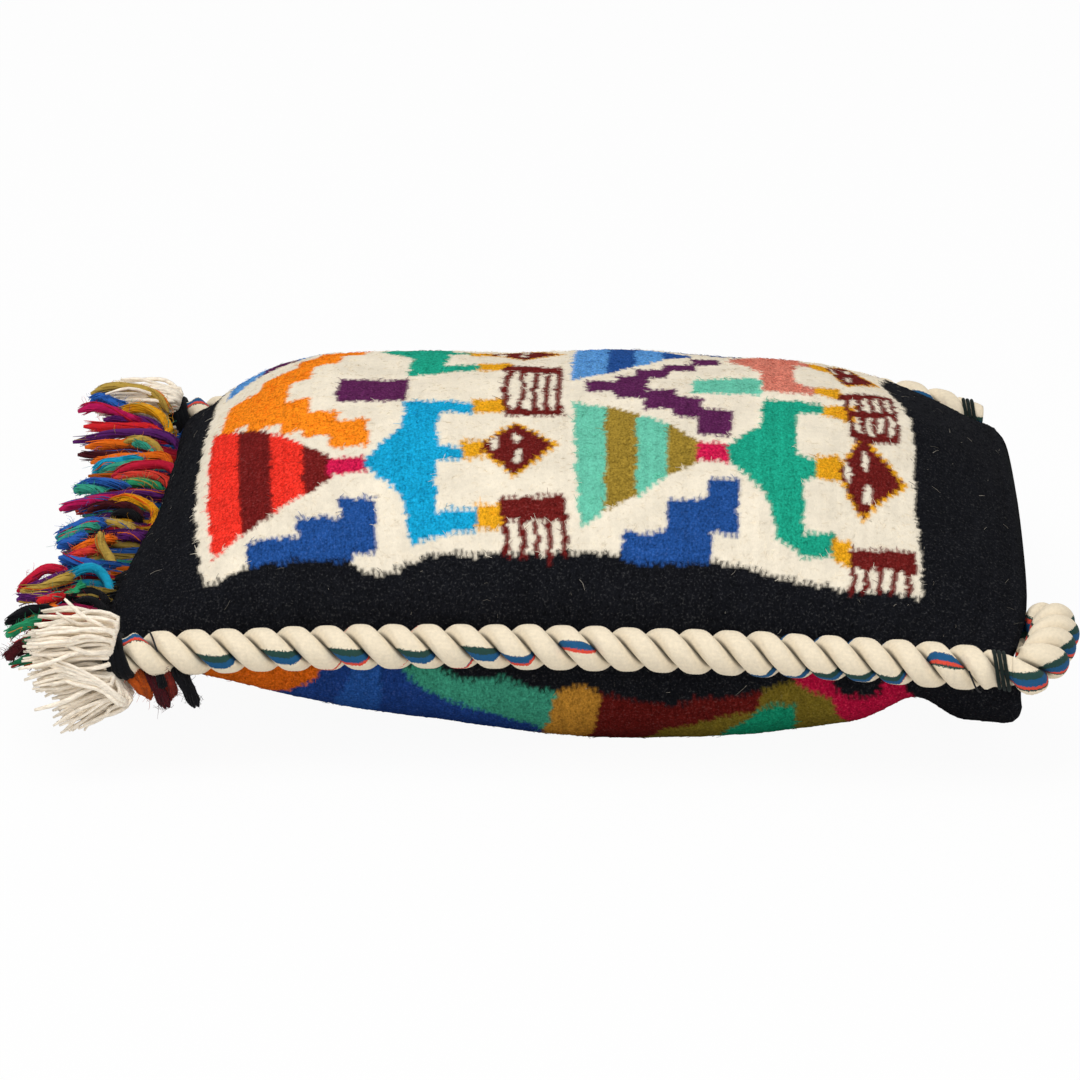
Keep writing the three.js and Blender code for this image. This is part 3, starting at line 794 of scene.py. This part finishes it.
# The right tassel from its lowest strings to its highest: where they turn over at the brim of the
# whipping and where their tips lie, along the rope and up from its end
levels = (-1, -0.8, -0.6, -0.42, -0.15, 0.33, 1)
brim_along, brim_up = (2.7, 1.5, -0.4, -2.1, -4.2, -4.8, -2.2), (-16, -14.4, -12.2, -9.9, -6, 3, 12)
tip_along, tip_up = (-11, -19, -25, -25, -33, -36, -31), (-24, -28.6, -24, -17, -8, 0, 12)
for word, side in bag_sides:
    root = rope_line(0, side)
    level = np.linspace(-1, 1, string_count) + rng.normal(0, 0.06, string_count)
    depth = rng.uniform(-1, 1, string_count)
    if side < 0:
        brim = np.stack([np.interp(level, levels, brim_along), 9.5 * depth,
                         np.interp(level, levels, brim_up)], axis=1)
        tips = np.stack([np.interp(level, levels, tip_along), 13 * depth,
                         np.interp(level, levels, tip_up)], axis=1)
    else:
        brim = np.stack([-4.5 + 1.5 * level ** 2, 8 * depth, 8 * level + 2], axis=1)
        tips = np.stack([-34 + 4 * level ** 2, 11 * depth, 8 * level + 4.5], axis=1)
    tips += rng.normal(0, (1.8, 1.5, 1.5), (string_count, 3))
    strings = []
    for high, deep, outer, tip in zip(level, depth, brim, tips):
        bends = rng.normal(0, 1.1, (2, 3)) + (0, 0, 0.8)
        strings.append([(-4.5, 3.5 * deep, 3.5 * high), outer * (0.5, 0.8, 0.75) - (2.0, 0, 0), outer,
                        0.7 * outer + 0.3 * tip + bends[0], 0.35 * outer + 0.65 * tip + bends[1], tip])
    if side < 0:
        # Seven strings lie slantwise over the others, and two stand out above them
        for k in range(7):
            high = rng.uniform(-2.5, 2.5)
            strings.append([
                (0.5, -5, -16.5), (1.5 - 0.2 * k, -10.5, -15 + high * 0.4),
                (-4.5 + 0.5 * k, -13.5, -9.5 - 0.4 * k + high), (-12 + k, -13.2, -4 - 0.6 * k + high),
                (-22 + k, -12.5, 0.5 - k + high), (-32 + k, -9, 3 - 1.2 * k + high)])
        strings += [[(-4.5, -1, 3.5), (-5, -3, 9), (-7, -4, 12.5), (-14.5, -5, 17.5), (-21.2, -5, 24.3)],
                    [(-4.5, 0, 3.5), (-6, -1, 10), (-10, -2, 12.5), (-17, -3, 13.5), (-24.8, -3, 18)]]
    lines = root + np.array([even_steps(smooth_route(np.array(string, float), 8), string_steps)
                             for string in strings])
    taper = 1 - 0.45 * np.linspace(0, 1, string_steps) ** 6
    radii = string_radius * taper * rng.uniform(0.85, 1.2, (len(lines), 1))
    tint = linear("#fff3e0") * rng.uniform(0.9, 1.06, (len(lines), 1, 1, 1))
    tassel = yarn_tubes(f"{word}_rope_tassel_strings", lines, radii, 5, tint, yarn_material)
    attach(tassel, "root")
    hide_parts(f"{word}_rope_tassel")

# ---------------------------------------------------------------------------------------------
# Bottom fringe. Eighteen hanks of thick hand-dyed wool yarn in mixed colours, each drawn through
# the bottom seam as loops, so that the bights stand against the cloth and two cut legs reach
# outwards and end in wisps. At the right corner a few darker yarns hang below the rope.
# ---------------------------------------------------------------------------------------------
fringe_wools = {
    "crimson": "#c11f3a", "orange": "#e8701c", "gold": "#e6a31c", "teal": "#3b9f86",
    "blue": "#2f63b4", "turquoise": "#1d9cc0", "purple": "#5b2468", "maroon": "#4a191f",
    "coral": "#dc4336", "khaki": "#b99a48", "green": "#2f9868", "magenta": "#b81c58",
    "navy": "#232f66", "red": "#d3262c", "black": "#17171a", "rust": "#b4511c", "brown": "#742820",
}
# The wools of each hank, from the right corner to the left
hanks = ["maroon green black orange", "orange red purple black", "red magenta purple green",
         "khaki turquoise crimson black", "turquoise blue crimson khaki", "orange blue khaki coral",
         "teal khaki orange blue", "blue khaki purple navy", "crimson purple gold maroon",
         "gold purple magenta crimson", "blue purple teal magenta", "blue green navy coral",
         "teal turquoise coral red", "orange teal turquoise red", "orange purple navy teal",
         "crimson red purple gold", "crimson gold magenta blue", "khaki gold blue khaki"]
strand_steps, route_steps, strand_radius = 12, 40, 0.32
fringe_span = 235.0
tuft_pitch = fringe_span / len(hanks)
# The uppermost locks, where they lie in the photograph: along the bag, across it and above the table
upper_locks = [
    ("khaki", [(-40, 127, 61), (-32, 130, 63), (-25, 130, 63), (-17, 129, 62), (-11, 126, 60),
               (-7, 121, 55)]),
    ("blue", [(-40, 124, 58), (-36, 126, 60), (-30, 124, 58), (-24, 122, 57)]),
    ("gold", [(-28, 120, 55), (-21, 122, 57), (-14, 121, 56), (-8, 117, 53), (-6, 113, 50),
              (-9, 110, 47)]),
    ("magenta", [(-45, 121, 55), (-39, 122, 57), (-31, 121, 56), (-24, 118, 54), (-17, 116, 52)]),
    ("purple", [(-34, 117, 53), (-27, 118, 53), (-19, 118, 53), (-12, 116, 51), (-8, 112, 48)]),
    ("red", [(-42, 114, 51), (-33, 114, 51), (-24, 114, 51), (-16, 114, 51), (-10, 111, 49),
             (-7, 107, 46)]),
    ("purple", [(-45, 100, 49), (-37, 102, 50), (-28, 103, 52), (-18, 104, 52), (-10, 103, 52),
                (-3, 100, 49), (-2, 96, 46)]),
    ("orange", [(-39, 91, 50), (-31, 92, 51), (-22, 93, 51), (-14, 92, 50), (-9, 90, 49)]),
    ("khaki", [(-23, 92, 52), (-17, 93, 53), (-11, 91, 52), (-7, 88, 48), (-4, 83, 45)]),
    ("teal", [(-19, 88, 53), (-13, 86, 52), (-9, 83, 49), (-7, 80, 46)]),
    ("maroon", [(-41, 82, 50), (-29, 82, 50), (-17, 82, 51), (-7, 80, 49)]),
    ("orange", [(-35, 75, 49), (-29, 76, 50), (-21, 77, 51), (-13, 77, 51), (-5, 77, 51), (-2, 72, 47)]),
    ("turquoise", [(-33, 67, 47), (-29, 71, 50), (-21, 72, 51), (-13, 73, 52)]),
    ("teal", [(-31, 63, 47), (-25, 66, 50), (-17, 68, 51), (-11, 68, 52)]),
    ("crimson", [(-24, 53, 51), (-17, 56, 54), (-10, 57, 55), (-2, 56, 54), (3, 50, 49), (2, 46, 45),
                 (-2, 42, 42)]),
    ("coral", [(-23, 51, 51), (-14, 53, 52), (-7, 52, 52), (-2, 50, 49), (0, 45, 46)]),
    ("green", [(-20, 46, 50), (-12, 47, 51), (-6, 46, 50), (-3, 44, 48)]),
    ("blue", [(-38, 42, 48), (-32, 46, 51), (-24, 46, 51), (-15, 44, 50)]),
    ("teal", [(-38, 39, 50), (-32, 39, 51), (-24, 37, 49)]),
    ("purple", [(-36, 26, 48), (-29, 28, 50), (-21, 30, 51), (-10, 31, 52), (0, 29, 50)]),
    ("magenta", [(-42, 22, 48), (-34, 25, 50), (-25, 27, 51), (-18, 26, 51)]),
    ("maroon", [(-30, 16, 50), (-21, 18, 52), (-12, 17, 51), (-7, 13, 47)]),
    ("gold", [(-21, 18, 52), (-15, 20, 54), (-9, 19, 53), (-4, 16, 50), (-3, 12, 47), (-6, 7, 43)]),
    ("black", [(-20, 10, 50), (-13, 11, 51), (-7, 8, 48)]),
    ("purple", [(-15, -15, 50), (-9, -15, 51), (-4, -17, 49)]),
    ("khaki", [(-27, 0, 51), (-19, 0, 51), (-13, -1, 50), (-8, -3, 48)]),
    ("blue", [(-40, -8, 47), (-34, -4, 50), (-27, -2, 52), (-20, -3, 51)]),
    ("teal", [(-39, -13, 47), (-33, -10, 50), (-27, -8, 52), (-22, -8, 52)]),
    ("blue", [(-38, -21, 48), (-32, -18, 50), (-26, -16, 52)]),
    ("orange", [(-31, -26, 47), (-26, -23, 50), (-20, -21, 51), (-14, -20, 52)]),
    ("coral", [(-32, -33, 48), (-25, -30, 50), (-18, -29, 52)]),
    ("blue", [(-35, -42, 52), (-29, -43, 51), (-22, -44, 50), (-17, -46, 48)]),
    ("khaki", [(-20, -29, 58), (-19, -33, 54), (-15, -38, 50), (-13, -42, 46), (-11, -45, 43)]),
    ("crimson", [(-49, -62, 45), (-44, -58, 49), (-39, -55, 52), (-33, -55, 52), (-29, -56, 51)]),
    ("purple", [(-45, -66, 47), (-36, -62, 50), (-28, -60, 52)]),
    ("khaki", [(-47, -69, 48), (-39, -68, 49), (-33, -66, 51), (-26, -64, 53)]),
    ("purple", [(-47, -81, 49), (-40, -80, 50), (-33, -78, 51)]),
    ("red", [(-39, -83, 49), (-33, -81, 50), (-28, -80, 51)]),
    ("green", [(-29, -75, 48), (-24, -73, 50), (-22, -70, 52)]),
    ("turquoise", [(-30, -61, 51), (-25, -58, 53), (-19, -58, 54), (-15, -60, 51), (-13, -64, 48),
                   (-11, -69, 43)]),
    ("orange", [(-43, -97, 48), (-36, -94, 50), (-29, -93, 51)]),
    ("black", [(-49, -101, 47), (-45, -99, 49), (-41, -97, 51), (-31, -96, 52)]),
    ("green", [(-47, -114, 47), (-43, -111, 49), (-38, -110, 51), (-34, -108, 52)]),
    ("maroon", [(-45, -130, 44), (-42, -127, 47), (-39, -125, 49)]),
    ("black", [(-25, -76, 48), (-19, -74, 50), (-14, -77, 48), (-12, -81, 45)]),
    ("black", [(-26, -86, 48), (-19, -83, 50), (-14, -86, 48), (-12, -90, 45)])]
# The dark locks that hang under the rope at the right corner
corner_locks = [
    ("rust", [(1, -136, 44), (3, -138, 40), (6, -139, 37), (8, -139, 33.5)]),
    ("rust", [(4, -136, 44), (7, -138.5, 40), (9, -139, 36), (10, -139, 32)]),
    ("maroon", [(8, -136, 44), (10, -138, 40), (13, -139, 35), (15.5, -139, 28.5)]),
    ("maroon", [(10, -136, 44), (12.5, -139, 39), (15, -140, 34), (17, -140, 29.5)]),
    ("brown", [(14, -136, 45), (16, -138, 42), (18, -139, 38), (18.5, -139, 33)]),
    ("brown", [(13, -135, 45), (14.5, -137, 41), (16.5, -138, 36), (17.5, -138, 31.5)]),
    ("black", [(18, -136, 45), (21, -138, 41), (24, -139, 36), (26.5, -139, 29)]),
    ("black", [(21, -136, 45), (23.5, -138, 40), (26, -139, 34.5), (28, -139, 29.5)]),
    ("black", [(13, -136, 45), (14, -139.5, 41), (14.5, -140.5, 37)])]


def lock(route, thick, count, main, other, fray, depth=1.0):
    """A lock of wool: a soft core along a route, wrapped in loose strands, some of another dye; depth
    darkens all its colours as painted shade.
    """
    line = even_steps(smooth_route(np.array(route, float), 8), route_steps)
    ahead = np.gradient(line, axis=0)
    ahead /= np.linalg.norm(ahead, axis=1, keepdims=True)
    across = np.cross(ahead, (0.3, 0.55, 0.78))
    across /= np.linalg.norm(across, axis=1, keepdims=True)
    over = np.cross(ahead, across)
    first, last = rng.uniform(0, 0.12, (count, 1)), rng.uniform(0.86, 1, (count, 1))
    where = first + (last - first) * np.linspace(0, 1, strand_steps)
    steps = np.linspace(0, 1, route_steps)
    centre, aside, above = (np.stack([np.interp(where, steps, way[:, k]) for k in range(3)], axis=2)
                            for way in (line, across, over))
    angle = rng.uniform(0, 2 * np.pi, (count, 1)) + 2.6 * where
    open_end = 1 + fray * np.clip((np.abs(2 * where - 1) - 0.6) / 0.4, 0, 1) ** 2
    spread = thick * rng.uniform(0.82, 1.06, (count, 1)) * open_end
    spread = spread * (1 + 0.08 * np.sin(9 * where + 5 * first))
    strands = (centre + (spread * np.cos(angle))[:, :, None] * aside
               + (spread * np.sin(angle))[:, :, None] * above)
    main_dye, other_dye = linear(fringe_wools[main]), linear(fringe_wools[other])
    odd = rng.random((count, 1)) < 0.16
    tint = np.where(odd, other_dye, main_dye) * rng.uniform(0.8, 1.2, (count, 1))
    share = np.linspace(-1, 1, strand_steps)
    blunt = 6 if fray > 0 else 3
    girth = thick * (1 - 0.72 * np.abs(share) ** blunt + 0.07 * np.sin(11 * share + first[0]))
    # depth is painted shade: the colours of locks that lie deep among the others are darkened
    return even_steps(line, strand_steps), girth, depth * main_dye, strands, depth * tint


locks = []
# Each hank's loops and legs, halved in colour as painted shade since they lie deep among the locks;
# nearer the right corner they start further out and reach less far
for tuft, hank in enumerate(hanks):
    y = tuft_pitch * (tuft - (len(hanks) - 1) / 2)
    near = float(np.clip((-y - 10) / 80, 0, 1))
    words = hank.split()
    for k in range(6):
        x = -2.5 - 11 * near + 4 * math.exp(-((y - 70) / 45) ** 2) + rng.uniform(-4, 2)
        reach = rng.uniform(28, 36) - 5 * near
        top, low = rng.uniform(-4, 0), rng.uniform(3, 8)
        sway, drop = rng.uniform(-6, 6, 2) - 2 * near, rng.uniform(0, 6, 2) + 3 * near
        yy = y + rng.uniform(-6, 6)
        middle = x - 0.5 * reach
        route = [(x - reach, yy + sway[0], 48 + top - drop[0]), (middle, yy + 0.4 * sway[0], 49 + top),
                 (x - 4, yy, 48.5 + top), (x, yy + rng.uniform(-2, 2), 47), (x - 4, yy, 47 - low),
                 (middle, yy + 0.4 * sway[1], 46.5 - low),
                 (x - reach, yy + sway[1], 46 - low - drop[1])]
        locks.append(lock(route, 1.7, 9, words[k % 4], words[rng.integers(4)], 0.3, 0.5))
# Black loops of the border's own wool, over the bottom seam
for k in range(7):
    y = -56 - 9.5 * k
    route = [(-14, y + 3, 45), (-7, y + 1, 49), (-2, y, 50), (0, y - 1, 46), (-3, y - 2, 42),
             (-11, y - 3, 39)]
    locks.append(lock(route, 2.4, 12, "black", "black", 0.3))
for word, route in upper_locks:
    edge = np.interp(route[-1][1], (-105, -50, 20), (-9, -4, 1.5))
    over_edge = [ease(x, edge - 10, edge + 2) for x, y, z in route]
    route = [(x + 1.5 * up, y, z + 2 * up) for (x, y, z), up in zip(route, over_edge)]
    other = word if word == "black" else hanks[rng.integers(len(hanks))].split()[0]
    locks.append(lock(route, 1.9, 15, word, other, 0.3))
for word, route in corner_locks:
    locks.append(lock(route, 1.8, 14, word, word, -0.8))
# The colours of the hank locks hold their painted shade
cores, girths, dyes_and_shade, lines, tints = zip(*locks)
cores, lines, tints = np.array(cores), np.concatenate(lines), np.concatenate(tints)
for yarns in (cores, lines):
    yarns[:, :, 2] = np.maximum(yarns[:, :, 2], 2.0)
fringe = yarn_tubes("bottom_fringe_yarn", cores, np.array(girths), 7,
                    np.array(dyes_and_shade)[:, None, None, :], yarn_material)
radii = strand_radius * (1 - 0.7 * np.abs(np.linspace(-1, 1, strand_steps)) ** 7)
strands = yarn_tubes("fringe_loose_strands", lines, radii, 3, tints[:, None, None, :], yarn_material)
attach(strands, "root")
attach(fringe, "root")
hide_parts(*[f"fringe_tuft_{i + 1:02d}" for i in range(len(hanks))])

# ---------------------------------------------------------------------------------------------
# Fuzz. Felted wool sheds fine fibres: short ones in the colour of the cloth lie all over both panels
# and across the edges of the pattern, pale ones show on the black wool, and a halo stands round the
# fringe.
# ---------------------------------------------------------------------------------------------
fibre_radius, fibre_long, pale_fibre_long = 0.1, 2.6, 4.0
halo_count, halo_long, halo_radius = 9800, 3.6, 0.085


def fuzz(name, roots, outward, ahead, longest, lift, thick, colours, material):
    """Thin bent fibres that rise from their roots and lie over towards a heading."""
    count = len(roots)
    turn = rng.normal(0, 0.35, (count, 3))
    turn -= outward * np.sum(turn * outward, axis=1, keepdims=True)
    length = longest * rng.uniform(0.35, 1, (count, 1)) ** 1.5
    fibres = [roots + length * (k * ahead + lift * math.sin(2.2 * k) * outward + k * k * turn)
              for k in (0, 0.5, 1.0)]
    for fibre_point in fibres:
        fibre_point[:, 2] = np.maximum(fibre_point[:, 2], 0.3)
    piece = yarn_tubes(name, np.stack(fibres, axis=1), (thick, 0.85 * thick, 0.5 * thick), 3,
                       np.clip(colours, 0, 1)[:, None, None, :], material, first=-outward)
    piece.data.shade_flat()
    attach(piece, "root")
    return piece


def any_way(count):
    heading = rng.normal(0, 1, (count, 3))
    return heading / np.linalg.norm(heading, axis=1, keepdims=True)


for name, grid, normals, colours, loose, slot in (
        ("front_cloth_fuzz", front_grid, front_normals, front_colours, 3400, "front_cloth"),
        ("back_cloth_fuzz", back_grid, back_normals, back_colours, 1000, "back_cloth")):
    # A third of the fibres lie anywhere, and the rest along the edges of the pattern
    step_across = np.abs(np.diff(colours, axis=1)).sum(axis=2)[1:, 2:-2] > 0.12
    step_along = np.abs(np.diff(colours, axis=0)).sum(axis=2)[:, 3:-2] > 0.12
    edge_rows, edge_columns = np.nonzero(step_across | step_along)
    chosen = rng.integers(len(edge_rows), size=2 * loose)
    rows = np.concatenate([rng.integers(3, weft_rows - 3, loose),
                           np.clip(edge_rows[chosen] + 1, 3, weft_rows - 3)])
    columns = np.concatenate([rng.integers(3, warp_columns - 3, loose), edge_columns[chosen] + 3])
    columns = np.clip(columns + rng.integers(-1, 2, len(columns)), 3, warp_columns - 3)
    ground = colours[rows, columns]
    outward = normals[rows, columns]
    bleach = rng.uniform(0.7, 1.45, (len(rows), 1))
    undyed = ground.min(axis=1, keepdims=True) > 0.45
    tint = ground * np.where(undyed, 0.65 + 0.35 * bleach, bleach)
    lying = any_way(len(rows)) + (0, 0.6, 0)
    lying -= outward * np.sum(lying * outward, axis=1, keepdims=True)
    lying /= np.linalg.norm(lying, axis=1, keepdims=True)
    on_black = (ground.max(axis=1) < 0.05) & (np.arange(len(rows)) < loose)
    pale = (rng.random(len(rows)) < 0.08) & on_black
    tint[pale] = linear("#c4bcae") * rng.uniform(0.12, 0.7, (pale.sum(), 1))
    longest = np.where(pale, pale_fibre_long, fibre_long)[:, None]
    roots = grid[rows, columns] + row_origin + 0.05 * outward
    fuzz(name, roots, outward, lying, longest, 0.14, fibre_radius, tint,
                           cloth_material)
# The halo takes the colours of its strands, painted shade included, a tenth lighter
picked, along = rng.integers(len(lines), size=halo_count), rng.integers(1, strand_steps, halo_count)
outward = any_way(halo_count)
halo = fuzz("fringe_halo", lines[picked, along] + 0.4 * outward, outward, any_way(halo_count),
            halo_long, 0.5, halo_radius, 1.1 * tints[picked], yarn_material)

# ---------------------------------------------------------------------------------------------
# Studio. A white table top under a broad soft light from above and a weak fill from the front.
# ---------------------------------------------------------------------------------------------
bpy.ops.mesh.primitive_plane_add(size=14, location=(0, 2, 0))
floor = bpy.context.object
floor.name = "studio_floor"
floor_material, tree = empty_material("white_studio_floor")
path = add_node(tree, "LightPath")
paper = add_node(tree, "BsdfDiffuse", in_Color=(0.85, 0.85, 0.85, 1))
glow = add_node(tree, "Emission", in_Color=(1, 1, 1, 1), in_Strength=1.0)
seen = add_node(tree, "Math", [(0, path.outputs["Is Camera Ray"])], operation="MULTIPLY", in_1=0.95)
surface = add_node(tree, "MixShader", [(0, seen), (1, paper), (2, glow)])
add_node(tree, "OutputMaterial", [("Surface", surface)])
floor.data.materials.append(floor_material)

world = bpy.data.worlds.new("studio")
scene.world = world
world.use_nodes = True
tree = world.node_tree
tree.nodes.clear()
path = add_node(tree, "LightPath")
fill = add_node(tree, "Background", in_Color=(1, 1, 1, 1), in_Strength=0.47)
white = add_node(tree, "Background", in_Color=(1, 1, 1, 1), in_Strength=1.0)
either = add_node(tree, "Math",
                  [(0, path.outputs["Is Camera Ray"]), (1, path.outputs["Is Glossy Ray"])],
                  operation="MAXIMUM")
chosen = add_node(tree, "MixShader", [(0, either), (1, fill), (2, white)])
add_node(tree, "OutputWorld", [("Surface", chosen)])


def soft_light(name, place, target, size, power):
    lamp = bpy.data.lights.new(name, "AREA")
    lamp.shape = "SQUARE"
    lamp.size = size
    lamp.energy = power
    holder = bpy.data.objects.new(name, lamp)
    scene.collection.objects.link(holder)
    holder.location = place
    ray = np.array(target) - np.array(place)
    tilt = math.acos(-ray[2] / np.linalg.norm(ray))
    holder.rotation_euler = (tilt, 0, math.atan2(ray[1], ray[0]) - math.pi / 2)


soft_light("key", (-0.45, -0.8, 2.2), (0, 0, 0.05), 1.6, 31.5)
soft_light("front", (0.9, -2.0, 1.0), (0, 0, 0.05), 1.2, 7)

# The camera stands 2.2 m away, a little to the mouth side, and looks 20.6 degrees down
camera = bpy.data.objects.new("photo_camera", bpy.data.cameras.new("photo_camera"))
scene.collection.objects.link(camera)
azimuth, elevation, distance = math.radians(1.75), math.radians(20.64), 2.2175
# In pixels of the photograph
half_picture, focal_length = 540, 5578
look = np.array([-math.sin(azimuth) * math.cos(elevation), math.cos(azimuth) * math.cos(elevation),
                 -math.sin(elevation)])
camera.location = np.array([0.00933, 0, 0.0456]) - distance * look
camera.rotation_euler = (math.pi / 2 - elevation, 0, azimuth)
camera.data.sensor_fit = "HORIZONTAL"
camera.data.angle = 2 * math.atan(half_picture / focal_length)
camera.data.clip_end = 50
scene.camera = camera

scene.view_settings.view_transform = "Standard"
